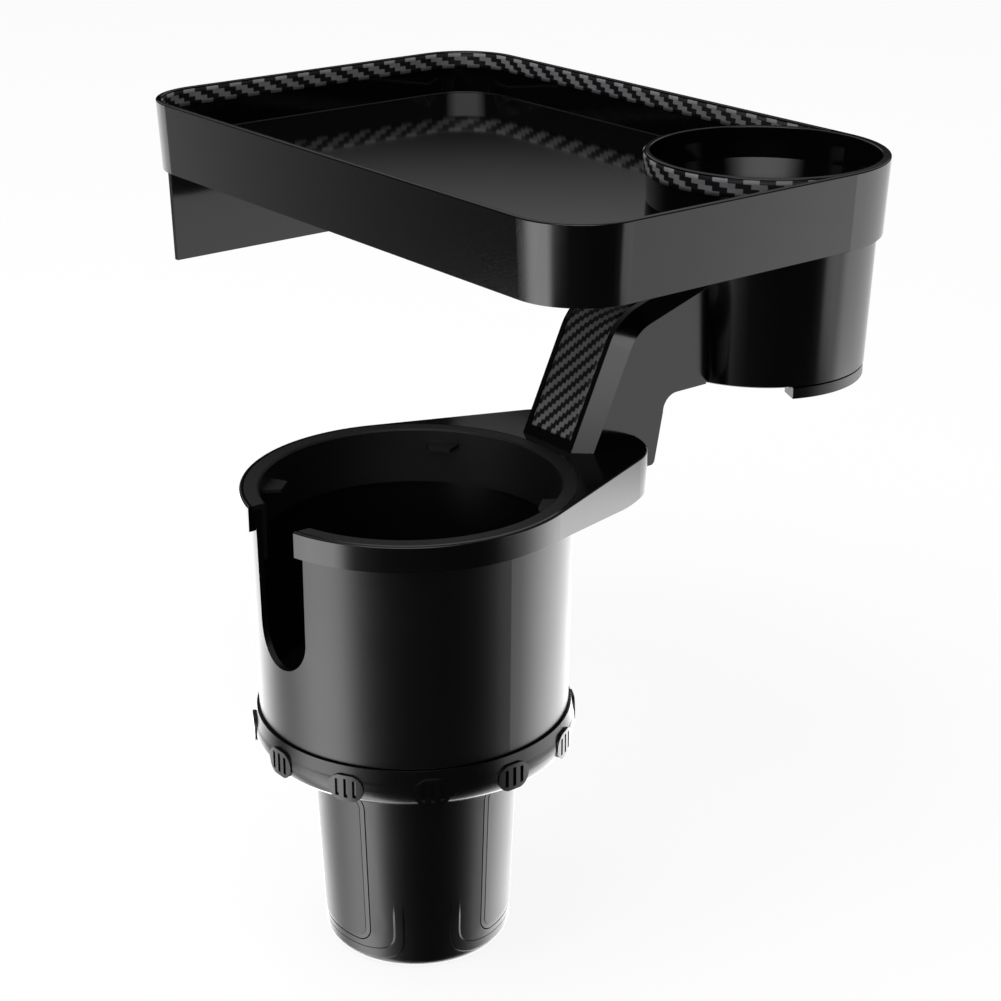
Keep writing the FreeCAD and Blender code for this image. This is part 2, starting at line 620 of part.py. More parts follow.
def slot_tip(share, way):
    """Point just past an end of the drive slot, for a first guess of the arc that closes it."""
    angle = math.radians(-ring_travel.value * share)
    reach = pin_near.value + foot_travel.value * share
    return (reach * math.cos(angle) - way * end_bulge * math.sin(angle),
            reach * math.sin(angle) + way * end_bulge * math.cos(angle))


outline(sketch, [start_in, end_in, end_out, start_out],
        {0: (arc_radius(start_in, mid_in, end_in), mid_in[0].value, mid_in[1].value),
         1: (slot_r * 1.025,) + slot_tip(1 + slot_over, -1),
         2: (arc_radius(start_out, mid_out, end_out), mid_out[0].value, mid_out[1].value),
         3: (slot_r * 1.025,) + slot_tip(-slot_over, 1)})
cam = pocket(adjuster_ring, sketch, web_skin, reverse=True)
polar(adjuster_ring, [cam], 3)
swing(adjuster_ring, 30.0)

# The arm: its front face leans back, then bends to run under the tray to the socket
axis_two = dim("axis_two", 154.0, "distance between the two cups' axes")
arm_face_foot = dim("arm_face_foot", 56.5, "distance of the arm's front face from the cup's axis at its foot")
arm_lean = dim("arm_lean", 64.9, "angle of the arm's lower part over the horizontal")
arm_rise = dim("arm_rise", 17.2, "angle of the arm's upper part over the horizontal")
arm_knee = dim("arm_knee", 206.7, "height where the two parts' front faces would meet")
arm_bend = dim("arm_bend", 19.0, "radius of the bend in the front face")
cover_half = dim("cover_half", 17.8, "half width of the arm's cover at its back")
bevel = dim("bevel", 5.1, "width of the cover's bevelled sides")
cover_deep = dim("cover_deep", 5.1, "depth of the cover")
cover_skin = dim("cover_skin", 2.3, "wall of the cover")
web_half = dim("web_half", 13.0, "half width over the arm's webs")
web_wall = dim("web_wall", 2.4, "thickness of the arm's webs and front wall")
socket_top = dim("socket_top", 221.9, "height of the socket's upper edge")
socket_low = dim("socket_low", 175.6, "height of the socket's lower edge")
socket_outer = dim("socket_outer", 40.0, "outer radius of the socket at its top")
socket_foot = dim("socket_foot", 38.2, "outer radius of the socket at its foot")
socket_wall = dim("socket_wall", 2.3, "thickness of the socket's wall")
lip_low = dim("lip_low", 178.8, "height of the underside of the socket's lip")
lip_skin = dim("lip_skin", 2.2, "thickness of the socket's lip")
lip_inner = dim("lip_inner", 29.2, "inner radius of the socket's lip")

lean_x, lean_y = cosine(arm_lean), sine(arm_lean)
rise_x, rise_y = cosine(arm_rise), sine(arm_rise)
knee_y = arm_face_foot + (arm_knee - collar_top) * lean_x / lean_y
bend_reach = arm_bend * tangent((arm_lean - arm_rise) / 2)
bend_one = (knee_y - bend_reach * lean_x, arm_knee - bend_reach * lean_y)
bend_two = (knee_y + bend_reach * rise_x, arm_knee + bend_reach * rise_y)
bend_centre = (bend_one[0] + arm_bend * lean_y, bend_one[1] - arm_bend * lean_x)


def arm_line(inset, far):
    """Foot, bend start, bend end and far end of the arm's face, moved inward by inset."""
    foot_y = arm_face_foot + as_size(inset) / lean_y
    one = (bend_centre[0] - (arm_bend - inset) * lean_y, bend_centre[1] + (arm_bend - inset) * lean_x)
    two = (bend_centre[0] - (arm_bend - inset) * rise_y, bend_centre[1] + (arm_bend - inset) * rise_x)
    last = (as_size(far), two[1] + (as_size(far) - two[0]) * tangent(arm_rise))
    return (foot_y, collar_top), one, two, last


def bend_middle(inset):
    """Middle of the bend, for a first guess of its arc."""
    half = math.radians((arm_lean.value + arm_rise.value) / 2 + 90)
    reach = arm_bend.value - as_size(inset).value
    return (bend_centre[0].value + reach * math.cos(half), bend_centre[1].value + reach * math.sin(half))


def foot_point(line, height):
    """Point where an arm line's lower part reaches a height."""
    return (line[0][0] + (as_size(height) - collar_top) * lean_x / lean_y, as_size(height))


arm_hook_low = dim("arm_hook_low", 151.3, "height of the lower end of the hook behind the collar")
arm_hook_back = dim("arm_hook_back", 93.6, "distance of the hook's back from the cup's axis at its foot")
arm_back_knee = dim("arm_back_knee", 97.2, "distance of the arm's back from the cup's axis at the top of the post")
hook_gap = dim("hook_gap", 0.1, "gap between the hook and the collar's end")
back_round = dim("back_round", 6.0, "radius of the bend in the arm's back")
floor_pad = dim("floor_pad", 3.0, "thickness of the arm's foot plate")
boss_radius = dim("boss_radius", 4.0, "radius of the bosses for the arm's screws")
boss_height = dim("boss_height", 7.5, "height of those bosses over the collar")

line = arm_line(cover_deep, axis_two - socket_outer + 3)
arm_body = new_body("arm_body")
sketch = new_sketch(arm_body, "side", "YZ_Plane")
outline(sketch, [line[0], line[1], line[2], line[3], (axis_two - socket_outer + 3, socket_low),
                 (arm_back_knee + back_round, socket_low),
                 (arm_back_knee, socket_low - back_round), (arm_hook_back, arm_hook_low),
                 (collar_end + hook_gap, arm_hook_low), (collar_end + hook_gap, collar_top)],
        {1: (arm_bend - cover_deep,) + bend_middle(cover_deep),
         5: (back_round, arm_back_knee.value + back_round.value * (1 - math.sqrt(0.5)),
             socket_low.value - back_round.value * (1 - math.sqrt(0.5)))})
side = pad(arm_body, sketch, web_half * 2, midplane=True)
hook_round = dim("hook_round", 1.8, "rounding of the hook's lower corners")
side = fillet(arm_body, side, hook_round,
              lambda e: near(e.BoundBox.ZMax, arm_hook_low) and e.BoundBox.XLength > 20)
inner = arm_line(cover_deep + web_wall, axis_two - socket_outer + 1)
sketch = new_sketch(arm_body, "hollow", "YZ_Plane")
low_in = foot_point(inner, collar_top + floor_pad)
outline(sketch, [low_in, inner[1], inner[2], inner[3], (axis_two - socket_outer + 1, socket_low - 30),
                 (collar_end + hook_gap + web_wall, socket_low - 30),
                 (collar_end + hook_gap + web_wall, collar_top + floor_pad)],
        {1: (arm_bend - cover_deep - web_wall,) + bend_middle(cover_deep + web_wall)})
pocket(arm_body, sketch, (web_half - web_wall) * 2, midplane=True)
sketch = new_sketch(arm_body, "bosses", "XY_Plane", collar_top)
circle(sketch, 0, arm_screw_near, boss_radius)
circle(sketch, 0, arm_screw_far, boss_radius)
pad(arm_body, sketch, boss_height)
sketch = new_sketch(arm_body, "pilots", "XY_Plane", collar_top)
circle(sketch, 0, arm_screw_near, screw_radius + thread_fit)
circle(sketch, 0, arm_screw_far, screw_radius + thread_fit)
pocket(arm_body, sketch, boss_height - 1, reverse=True)
sketch = new_sketch(arm_body, "socket", "YZ_Plane", None, axis_two)
outline(sketch, [(socket_foot - socket_wall, socket_low), (socket_foot - 0.3, socket_low),
                 (socket_foot, socket_low + 0.3), (socket_outer, socket_top), (0, socket_top),
                 (0, lip_low), (socket_foot - socket_wall, lip_low)])
turn(arm_body, sketch)
socket_slope = (socket_outer - socket_foot) / (socket_top - socket_low)
sketch = new_sketch(arm_body, "bore", "YZ_Plane", None, axis_two)
lip_top = lip_low + lip_skin
outline(sketch, [(0, socket_low - 1), (socket_foot - socket_wall, socket_low - 1),
                 (socket_foot - socket_wall, lip_low), (lip_inner, lip_low), (lip_inner, lip_top),
                 (socket_foot - socket_wall + 0.1, lip_top), (socket_outer - socket_wall, socket_top),
                 (socket_outer - socket_wall, socket_top + 3), (0, socket_top + 3)])
turn(arm_body, sketch, cutting=True)

foot_flare = dim("foot_flare", 3.2, "how far the cover flares out at its foot")
flare_height = dim("flare_height", 3.0, "height of that flare")
cover_end_fit = dim("cover_end_fit", 0.15, "gap between the cover and the socket")
arm_cover = new_body("arm_cover")
front = arm_line(0.0, axis_two - socket_outer + 6)
back = arm_line(cover_deep, axis_two - socket_outer + 6)
sketch = new_sketch(arm_cover, "side", "YZ_Plane")
flare_top = foot_point(front, collar_top + flare_height)
outline(sketch, [(arm_face_foot, collar_top), flare_top, front[1], front[2], front[3],
                 back[3], back[2], back[1], back[0]],
        {2: (arm_bend,) + bend_middle(0.0), 6: (arm_bend - cover_deep,) + bend_middle(cover_deep)})
slab = pad(arm_cover, sketch, cover_half * 2, midplane=True)


def on_face_side(edge):
    """True for the long side edges of the cover's front face."""
    box = edge.BoundBox
    if not near(abs(box.XMin), cover_half) or box.XLength > 0.01:
        return False
    for vertex in edge.Vertexes:
        y, z = vertex.Y, vertex.Z
        low = abs((y - arm_face_foot.value) * lean_y.value - (z - collar_top.value) * lean_x.value) < 0.05
        two = front[2]
        high = abs((y - two[0].value) * rise_y.value - (z - two[1].value) * rise_x.value) < 0.05
        if not (low or high):
            return False
    return edge.Length > 1


slab = chamfer(arm_cover, slab, bevel - 0.05, on_face_side)
hollow_front = arm_line(cover_skin, axis_two - socket_outer + 7)
hollow_back = arm_line(cover_deep + 2, axis_two - socket_outer + 7)
sketch = new_sketch(arm_cover, "hollow", "YZ_Plane")
outline(sketch, [foot_point(hollow_front, collar_top + 4), hollow_front[1], hollow_front[2], hollow_front[3],
                 hollow_back[3], hollow_back[2], hollow_back[1], foot_point(hollow_back, collar_top + 4)],
        {1: (arm_bend - cover_skin,) + bend_middle(cover_skin),
         5: (arm_bend - cover_deep - 2,) + bend_middle(cover_deep + 2)})
pocket(arm_cover, sketch, (web_half - 0.5) * 2, midplane=True)
film_half = dim("film_half", 10.4, "half width of the twill panel on the cover")
film_skin = dim("film_skin", 0.45, "thickness of the twill panel")
film_fit = dim("film_fit", 0.1, "gap round the twill panel")
film_low = collar_top + flare_height + 0.3
recess_front = arm_line(-1.0, axis_two - socket_outer + 7)
recess_back = arm_line(film_skin + 0.1, axis_two - socket_outer - 2)
recess_far = (recess_back[3][0] + 0.0, recess_back[3][1] + 3)
sketch = new_sketch(arm_cover, "recess", "YZ_Plane")
outline(sketch, [foot_point(recess_front, film_low - 0.2), recess_front[1], recess_front[2], recess_far,
                 recess_back[3], recess_back[2], recess_back[1], foot_point(recess_back, film_low - 0.2)],
        {1: (arm_bend + 1.0,) + bend_middle(-1.0),
         5: (arm_bend - film_skin - 0.1,) + bend_middle(film_skin + 0.1)})
pocket(arm_cover, sketch, (film_half + film_fit) * 2, midplane=True)
sketch = new_sketch(arm_cover, "socket_cut", "XY_Plane", socket_top + 3)
circle(sketch, 0, axis_two, socket_outer + cover_end_fit)
pocket(arm_cover, sketch, 40.0)

arm_insert = new_body("arm_insert")
film_front = arm_line(0.1, axis_two - socket_outer - 2 - film_fit)
film_back = arm_line(film_skin + 0.06, axis_two - socket_outer - 2 - film_fit)
sketch = new_sketch(arm_insert, "side", "YZ_Plane")
outline(sketch, [foot_point(film_front, film_low), film_front[1], film_front[2], film_front[3],
                 film_back[3], film_back[2], film_back[1], foot_point(film_back, film_low)],
        {1: (arm_bend - 0.1,) + bend_middle(0.1),
         5: (arm_bend - film_skin - 0.06,) + bend_middle(film_skin + 0.06)})
pad(arm_insert, sketch, film_half * 2, midplane=True)

# The tray, with the second cup and the flap under its end in one moulding
tray_left = dim("tray_left", 223.0, "distance of the tray's far end from the arm's plane")
tray_right = dim("tray_right", 43.4, "distance of the tray's near end from the arm's plane")
tray_front = dim("tray_front", 28.9, "distance of the tray's front from the cup's axis plane")
tray_rim = dim("tray_rim", 249.9, "height of the tray's rim")
tray_skirt = dim("tray_skirt", 222.8, "height of the lower edge of the tray's walls")
tray_floor = dim("tray_floor", 232.5, "height of the tray's floor")
tray_skin = dim("tray_skin", 2.4, "thickness of the tray's floor")
tray_wall = dim("tray_wall", 2.2, "thickness of the tray's walls")
tray_draft = dim("tray_draft", 2.85, "draft angle of the tray's walls")
tray_corner = dim("tray_corner", 26.0, "outer radius of three of the tray's corners")
flap_low = dim("flap_low", 182.0, "height of the flap's lower edge")
flap_near = dim("flap_near", 42.5, "distance of the flap's near edge from the cup's axis plane")
flap_round = dim("flap_round", 5.5, "rounding where the flap meets the tray's walls")
cup_two_rim = dim("cup_two_rim", 40.1, "inner radius of the second cup at its rim")
cup_two_lip = dim("cup_two_lip", 42.2, "outer radius of the second cup at its rim")
cup_two_neck = dim("cup_two_neck", 37.2, "outer radius of the second cup at the socket's top")
cup_two_foot = dim("cup_two_foot", 35.3, "outer radius of the second cup at its foot")
cup_two_under = dim("cup_two_under", 181.4, "height of the second cup's underside")
cup_two_wall = dim("cup_two_wall", 2.0, "thickness of the second cup's wall")
boss_two = dim("boss_two", 28.6, "radius of the boss through the socket's lip")
cap_top = dim("cap_top", 178.4, "height of the swivel cap's top")

# the skirt's outline at the flap's lower edge, from which the walls widen upward
drop = tray_rim - flap_low
shrink = drop * tangent(tray_draft)
corner_two = tray_right
back_side = axis_two + corner_two


def tray_outline(sketch, inset):
    """The tray's outline, moved inward by inset."""
    inset = as_size(inset)
    rounded_box(sketch, -tray_left + inset, tray_right - inset, tray_front + inset, back_side - inset,
                (tray_corner - inset, tray_corner - inset, corner_two - inset, tray_corner - inset))


tray = new_body("tray")
sketch = new_sketch(tray, "outer", "XY_Plane", flap_low)
tray_outline(sketch, shrink)
tray_block = pad(tray, sketch, drop, taper=tray_draft)
sketch = new_sketch(tray, "inner", "XY_Plane", tray_floor)
tray_outline(sketch, (tray_rim - tray_floor) * tangent(tray_draft) + tray_wall)
inside = pocket(tray, sketch, tray_rim - tray_floor + 1, reverse=True, taper=tray_draft)
floor_round = dim("floor_round", 0.4, "rounding between the tray's floor and walls")
inside = fillet(tray, inside, floor_round,
                lambda e: near(e.BoundBox.ZMin, tray_floor) and near(e.BoundBox.ZMax, tray_floor))
sketch = new_sketch(tray, "under", "XY_Plane", flap_low - 1)
tray_outline(sketch, shrink + tray_wall)
pocket(tray, sketch, tray_floor - tray_skin - flap_low + 1, reverse=True, taper=tray_draft)
flap_far = back_side - flap_near + tray_front
near_cut = new_sketch(tray, "near_cut", "YZ_Plane", -tray_left - 5)
outline(near_cut, [(tray_front - 5, flap_low - 5), (flap_near, flap_low - 5), (flap_near, tray_skirt - flap_round),
                   (flap_near - flap_round, tray_skirt), (tray_front - 5, tray_skirt)],
        {2: (flap_round, flap_near.value - flap_round.value * (1 - math.sqrt(0.5)),
             tray_skirt.value - flap_round.value * (1 - math.sqrt(0.5)))})
pocket(tray, near_cut, tray_left + tray_right + 10, reverse=True)
far_cut = new_sketch(tray, "far_cut", "YZ_Plane", -tray_left - 5)
outline(far_cut, [(back_side + 5, flap_low - 5), (flap_far, flap_low - 5), (flap_far, tray_skirt - flap_round),
                  (flap_far + flap_round, tray_skirt), (back_side + 5, tray_skirt)],
        {2: (flap_round, flap_far.value + flap_round.value * (1 - math.sqrt(0.5)),
             tray_skirt.value - flap_round.value * (1 - math.sqrt(0.5)))})
pocket(tray, far_cut, tray_left + tray_right + 10, reverse=True)
sketch = new_sketch(tray, "end_cut", "XY_Plane", tray_skirt)
outline(sketch, [(-tray_left + 40, tray_front - 5), (tray_right + 5, tray_front - 5),
                 (tray_right + 5, back_side + 5), (-tray_left + 40, back_side + 5)])
pocket(tray, sketch, tray_skirt - flap_low + 5)
flat_top = tray_skirt - flap_round
flat_in = (tray_rim - flat_top) * tangent(tray_draft) + tray_wall - tray_left
sketch = new_sketch(tray, "flap_flat", "XY_Plane", flat_top)
outline(sketch, [(flat_in, tray_front - 12), (flat_in + 40, tray_front - 12),
                 (flat_in + 40, back_side + 12), (flat_in, back_side + 12)])
pocket(tray, sketch, flat_top - flap_low + 1, taper=-tray_draft)
sketch = new_sketch(tray, "flap_plate", "XZ_Plane", -flap_near)
high_out = (tray_rim - tray_skirt) * tangent(tray_draft) - tray_left
low_out = shrink - tray_left
outline(sketch, [(low_out, flap_low), (low_out + tray_wall, flap_low), (high_out + tray_wall, tray_skirt),
                 (high_out, tray_skirt)])
pad(tray, sketch, tray_front + tray_corner - flap_near + 2, reverse=True)
sketch = new_sketch(tray, "cup", "YZ_Plane", None, axis_two)
outline(sketch, [(0, cup_two_under), (cup_two_foot, cup_two_under), (cup_two_neck, socket_top),
                 (cup_two_neck + 0.2, socket_top + 3), (cup_two_lip - 1.0, tray_floor - tray_skin),
                 (cup_two_lip, tray_rim), (0, tray_rim)])
turn(tray, sketch)
sketch = new_sketch(tray, "boss", "XY_Plane", cap_top, None)
circle(sketch, 0, axis_two, boss_two)
pad(tray, sketch, cup_two_under - cap_top)
sketch = new_sketch(tray, "cup_bore", "YZ_Plane", None, axis_two)
cup_two_floor = cup_two_under + 2.4
outline(sketch, [(0, cup_two_floor), (cup_two_foot - cup_two_wall - 2, cup_two_floor),
                 (cup_two_foot - cup_two_wall + 0.1, cup_two_floor + 2),
                 (cup_two_neck - cup_two_wall, socket_top), (cup_two_rim - 0.8, tray_floor + 6),
                 (cup_two_rim, tray_rim), (cup_two_rim, tray_rim + 2), (0, tray_rim + 2)])
bore_two = turn(tray, sketch, cutting=True)
cap_screw_circle = dim("cap_screw_circle", 20.0, "radius of the circle of the cap's screws")
sketch = new_sketch(tray, "pilots", "XY_Plane", cap_top)
for turn_by in (90.0, 210.0, 330.0):
    heading = as_size(turn_by)
    circle(sketch, cap_screw_circle * cosine(heading), axis_two + cap_screw_circle * sine(heading),
           screw_radius + thread_fit)
bored = pocket(tray, sketch, 4.6, reverse=True)
rim_round = dim("rim_round", 0.5, "rounding of the tray's rim")
fillet(tray, bored, rim_round,
       lambda e: near(e.BoundBox.ZMin, tray_rim) and near(e.BoundBox.ZMax, tray_rim) and e.Length > 3)

# The swivel cap under the socket, with its thumb tab
cap_outer = dim("cap_outer", 33.4, "radius of the swivel cap")
cap_skin = dim("cap_skin", 2.5, "thickness of the swivel cap")
tab_outer = dim("tab_outer", 38.0, "outer radius of the thumb tab")
tab_inner = dim("tab_inner", 30.0, "inner radius of the thumb tab")
tab_low = dim("tab_low", 171.4, "height of the tab's underside")
tab_top = dim("tab_top", 175.2, "height of the tab's top")
tab_from = dim("tab_from", -25.0, "heading of the tab's near end")
tab_to = dim("tab_to", 52.0, "heading of the tab's far end")

swivel_cap = new_body("swivel_cap")
sketch = new_sketch(swivel_cap, "disc", "XY_Plane", cap_top - cap_skin)
circle(sketch, 0, axis_two, cap_outer)
pad(swivel_cap, sketch, cap_skin)


def tab_sector(sketch, inner, outer):
    """A sector of a ring about the second axis, as wide as the thumb tab."""
    middle = math.radians((tab_from.value + tab_to.value) / 2)
    points = [(inner * cosine(tab_from), axis_two + inner * sine(tab_from)),
              (outer * cosine(tab_from), axis_two + outer * sine(tab_from)),
              (outer * cosine(tab_to), axis_two + outer * sine(tab_to)),
              (inner * cosine(tab_to), axis_two + inner * sine(tab_to))]
    outline(sketch, points,
            {1: (outer, outer.value * math.cos(middle), axis_two.value + outer.value * math.sin(middle)),
             3: (inner, inner.value * math.cos(middle), axis_two.value + inner.value * math.sin(middle))})


sketch = new_sketch(swivel_cap, "tab", "XY_Plane", tab_low)
tab_sector(sketch, tab_inner, tab_outer)
pad(swivel_cap, sketch, tab_top - tab_low)
sketch = new_sketch(swivel_cap, "tab_root", "XY_Plane", tab_low)
tab_sector(sketch, tab_inner, cap_outer)
pad(swivel_cap, sketch, cap_top - tab_low)
sketch = new_sketch(swivel_cap, "screw_holes", "XY_Plane", cap_top)
for turn_by in (90.0, 210.0, 330.0):
    heading = as_size(turn_by)
    circle(sketch, cap_screw_circle * cosine(heading), axis_two + cap_screw_circle * sine(heading),
           screw_radius + hole_fit)
pocket(swivel_cap, sketch, cap_skin + 10)

# The twill bands inside the tray and round the second cup
band_low = dim("band_low", 243.0, "height of the lower edge of the twill bands")
band_top = dim("band_top", 249.2, "height of the upper edge of the twill bands")
band_skin = dim("band_skin", 0.4, "thickness of the twill bands")
band_fit = dim("band_fit", 0.02, "gap between a band and its wall")

inset_low = (tray_rim - band_low) * tangent(tray_draft) + tray_wall + band_fit
tray_trim = new_body("tray_trim")
sketch = new_sketch(tray_trim, "outer", "XY_Plane", band_low)
tray_outline(sketch, inset_low)
pad(tray_trim, sketch, band_top - band_low, taper=tray_draft)
sketch = new_sketch(tray_trim, "inner", "XY_Plane", band_low - 0.5)
tray_outline(sketch, inset_low + band_skin + tangent(tray_draft) * 0.5)
pocket(tray_trim, sketch, band_top - band_low + 1, reverse=True, taper=tray_draft)
sketch = new_sketch(tray_trim, "cup_room", "XY_Plane", band_top)
circle(sketch, 0, axis_two, cup_two_lip + 0.5)
pocket(tray_trim, sketch, band_top - band_low)

inner_right = tray_right - inset_low - band_skin - 0.4
inner_back = back_side - inset_low - band_skin - 0.4
cup_trim = new_body("cup_trim")
sketch = new_sketch(cup_trim, "ring", "XY_Plane", band_low)
circle(sketch, 0, axis_two, cup_two_lip + band_fit + band_skin)
circle(sketch, 0, axis_two, cup_two_lip + band_fit)
pad(cup_trim, sketch, band_top - band_low)
sketch = new_sketch(cup_trim, "room", "XY_Plane", band_top)
outline(sketch, [(inner_right, tray_front), (tray_right + 5, tray_front), (tray_right + 5, back_side + 5),
                 (-tray_right, back_side + 5), (-tray_right, inner_back), (0, inner_back),
                 (0, axis_two), (inner_right, axis_two)])
pocket(cup_trim, sketch, band_top - band_low)


def screws(label, places, low, length):
    """A set of like screws, heads down, as plain cylinders."""
    pieces = []
    for index, (x, y) in enumerate(places):
        for kind, radius, start, tall in (("head", screw_head, low, head_height),
                                          ("thread", screw_radius, low + head_height - 0.2, length)):
            cylinder = doc.addObject("Part::Cylinder", "%s_%s%d" % (label, kind, index))
            bind(cylinder, "Radius", radius)
            bind(cylinder, "Height", tall)
            cylinder.Placement.Base = V(as_size(x).value, as_size(y).value, as_size(start).value)
            cylinder.setExpression("Placement.Base.x", as_size(x).text)
            cylinder.setExpression("Placement.Base.y", as_size(y).text)
            cylinder.setExpression("Placement.Base.z", as_size(start).text)
            pieces.append(cylinder)
    fused = doc.addObject("Part::MultiFuse", label)
    fused.Shapes = pieces
    fused.Label = label
    return fused


# The screws
spots = []
for turn_by in (30.0, 150.0, 270.0):
    heading = as_size(turn_by)
    spots.append((base_screw_circle * cosine(heading), base_screw_circle * sine(heading)))
base_screws = screws("base_screws", spots, pillar_foot - head_height, cup_under + cup_floor - 1.2 - pillar_foot)
arm_screws = screws("arm_screws", [(as_size(0), arm_screw_near), (as_size(0), arm_screw_far)],
                    collar_top - collar_skin - head_height, collar_skin + boss_height - 1.4)
spots = []
for turn_by in (90.0, 210.0, 330.0):
    heading = as_size(turn_by)
    spots.append((cap_screw_circle * cosine(heading), axis_two + cap_screw_circle * sine(heading)))
cap_screws = screws("cap_screws", spots, cap_top - cap_skin - head_height, cap_skin + 4.2)

doc.recompute()
NODES = ["cup_body", "collar", "cup_liner", "base_core", "foot_a", "foot_b", "foot_c", "foot_pad_a", "foot_pad_b",
         "foot_pad_c", "adjuster_ring", "arm_body", "arm_cover", "arm_insert", "tray", "swivel_cap", "tray_trim",
         "cup_trim", "base_screws", "arm_screws", "cap_screws"]
for thing in doc.Objects:
    if "Invalid" in thing.State or "Error" in thing.State:
        raise ValueError("not recomputed: " + thing.Label)
os.makedirs("parts", exist_ok=True)
for name in NODES:
    shape = doc.getObject(name).Shape
    if shape.isNull() or not shape.isValid():
        raise ValueError("bad shape: " + name)
    shape.exportStep("parts/%s.step" % name)
    print(name, "%.1f cm3" % (shape.Volume / 1000), len(shape.Solids), "solids")
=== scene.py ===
"""Cup holder expander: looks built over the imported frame.  Metres, +Z up."""

import math

import bpy
import numpy as np
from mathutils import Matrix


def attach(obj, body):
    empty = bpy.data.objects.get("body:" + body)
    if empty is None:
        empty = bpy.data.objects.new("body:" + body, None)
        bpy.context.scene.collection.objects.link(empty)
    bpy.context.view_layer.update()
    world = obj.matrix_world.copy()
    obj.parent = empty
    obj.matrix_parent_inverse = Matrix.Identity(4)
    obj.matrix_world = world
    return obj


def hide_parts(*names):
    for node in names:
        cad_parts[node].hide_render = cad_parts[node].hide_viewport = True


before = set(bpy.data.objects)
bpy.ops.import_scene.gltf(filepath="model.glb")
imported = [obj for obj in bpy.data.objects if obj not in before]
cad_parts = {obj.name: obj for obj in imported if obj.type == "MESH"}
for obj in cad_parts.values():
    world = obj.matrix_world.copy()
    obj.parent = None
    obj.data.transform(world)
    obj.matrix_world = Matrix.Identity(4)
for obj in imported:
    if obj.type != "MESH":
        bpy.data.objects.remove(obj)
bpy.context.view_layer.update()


# Camera
# A long lens a little above the tray, looking down the arm from the near side.
camera_data = bpy.data.cameras.new("camera")
camera_data.lens = 78.49
camera_data.sensor_width = 36.0
camera = bpy.data.objects.new("camera", camera_data)
camera.location = (0.53206, -0.38169, 0.41985)
camera.rotation_euler = (math.radians(90.0 - 21.89), 0.0, math.radians(51.82))
bpy.context.scene.collection.objects.link(camera)
bpy.context.scene.camera = camera
bpy.context.scene.view_settings.view_transform = "Standard"


# Studio
# A white sweep under a soft light tent.  The tent's walls are bright to the left and the right and
# dark in front, which draws long soft streaks on black plastic.
def linear(code):
    """Turn an sRGB hex colour into linear RGBA: each channel c becomes ((c + 0.055) / 1.055) ** 2.4."""
    parts = [int(code[i:i + 2], 16) / 255.0 for i in (1, 3, 5)]
    return [p / 12.92 if p <= 0.04045 else ((p + 0.055) / 1.055) ** 2.4 for p in parts] + [1.0]


def add(tree, kind, inputs=None, **settings):
    """Add one node with its settings, and give its sockets values or links."""
    node = tree.nodes.new(kind)
    for name, value in settings.items():
        setattr(node, name, value)
    for name, value in (inputs or {}).items():
        if isinstance(value, bpy.types.NodeSocket):
            tree.links.new(value, node.inputs[name])
        else:
            node.inputs[name].default_value = value
    return node


def empty_tree(block):
    """Give a material or a world a node tree with nothing in it."""
    block.use_nodes = True
    block.node_tree.nodes.clear()
    return block.node_tree


def tent_wall(tree, along, stops):
    """Brightness of the tent along its headings: a grey ramp, straight between (heading, value) stops.

    A heading in degrees is counted from the camera's side towards the right, and its place on the
    ramp is heading / 360 + 0.5.  A value is a brightness up to the tent's peak.
    """
    band = add(tree, "ShaderNodeValToRGB", {0: along})
    points = band.color_ramp.elements
    while len(points) < len(stops):
        points.new(0.5)
    for point, (heading, value) in zip(points, stops):
        share = value / tent_peak
        point.position = heading / 360.0 + 0.5
        point.color = (share, share, share, 1.0)
    return band.outputs[0]


# The low wall is what upright faces of the main cup mirror, the tray's wall is what the outside of
# the tray mirrors, and the high wall is what flat tops and insides mirror.  Where one gives way to
# the next is told by the sine of the elevation.
camera_heading = -38.18
tent_peak = 5.0
low_wall = [(-180, 4.00), (-165, 4.40), (-134, 3.60), (-118, 1.50), (-104, 1.10), (-96, 1.50),
            (-89, 2.40), (-78, 3.90), (-70, 4.60), (-51, 4.70), (-46, 3.20), (-41, 1.10),
            (-36, 0.35), (-28, 0.18), (-16, 0.07), (5, 0.04), (20, 0.03), (48, 0.03),
            (58, 0.07), (66, 0.20), (74, 0.60), (85, 1.60), (96, 3.10), (108, 4.50),
            (124, 4.50), (140, 4.20), (158, 4.00), (180, 4.00)]
tray_wall = [(-180, 0.80), (-160, 1.20), (-134, 1.90), (-122, 1.60), (-112, 0.30), (-104, 0.04),
             (-98, 0.26), (-90, 1.20), (-78, 3.60), (-70, 4.30), (-50, 4.30), (-45, 3.00),
             (-40, 1.20), (-35, 0.70), (-28, 0.35), (-16, 0.06), (20, 0.02), (50, 0.03),
             (60, 0.14), (66, 1.50), (76, 1.60), (82, 1.30), (92, 2.20), (110, 1.80),
             (140, 1.20), (180, 0.80)]
high_wall = [(-180, 0.45), (-140, 0.40), (-115, 0.05), (-50, 0.05), (-38, 1.8), (-28, 3.0),
             (14, 3.0), (26, 1.6), (38, 0.05), (110, 0.05), (140, 0.40), (180, 0.45)]
tray_wall_from = {"From Min": -0.38, "From Max": -0.35}
high_wall_from = {"From Min": -0.20, "From Max": 0.02}
high_wall_lit = {"From Min": 0.214, "From Max": 0.278}
ceiling_from = {"From Min": 0.55, "From Max": 0.85}
ceiling_tone = (0.1, 0.1, 0.1, 1.0)
white = (1.0, 1.0, 1.0, 1.0)
world = bpy.data.worlds.new("light_tent")
bpy.context.scene.world = world
tree = empty_tree(world)
heading = add(tree, "ShaderNodeTexCoord").outputs["Generated"]
heading = add(tree, "ShaderNodeVectorRotate", {"Vector": heading, "Angle": math.radians(-camera_heading)},
              rotation_type="Z_AXIS").outputs[0]
split = add(tree, "ShaderNodeSeparateXYZ", {0: heading})
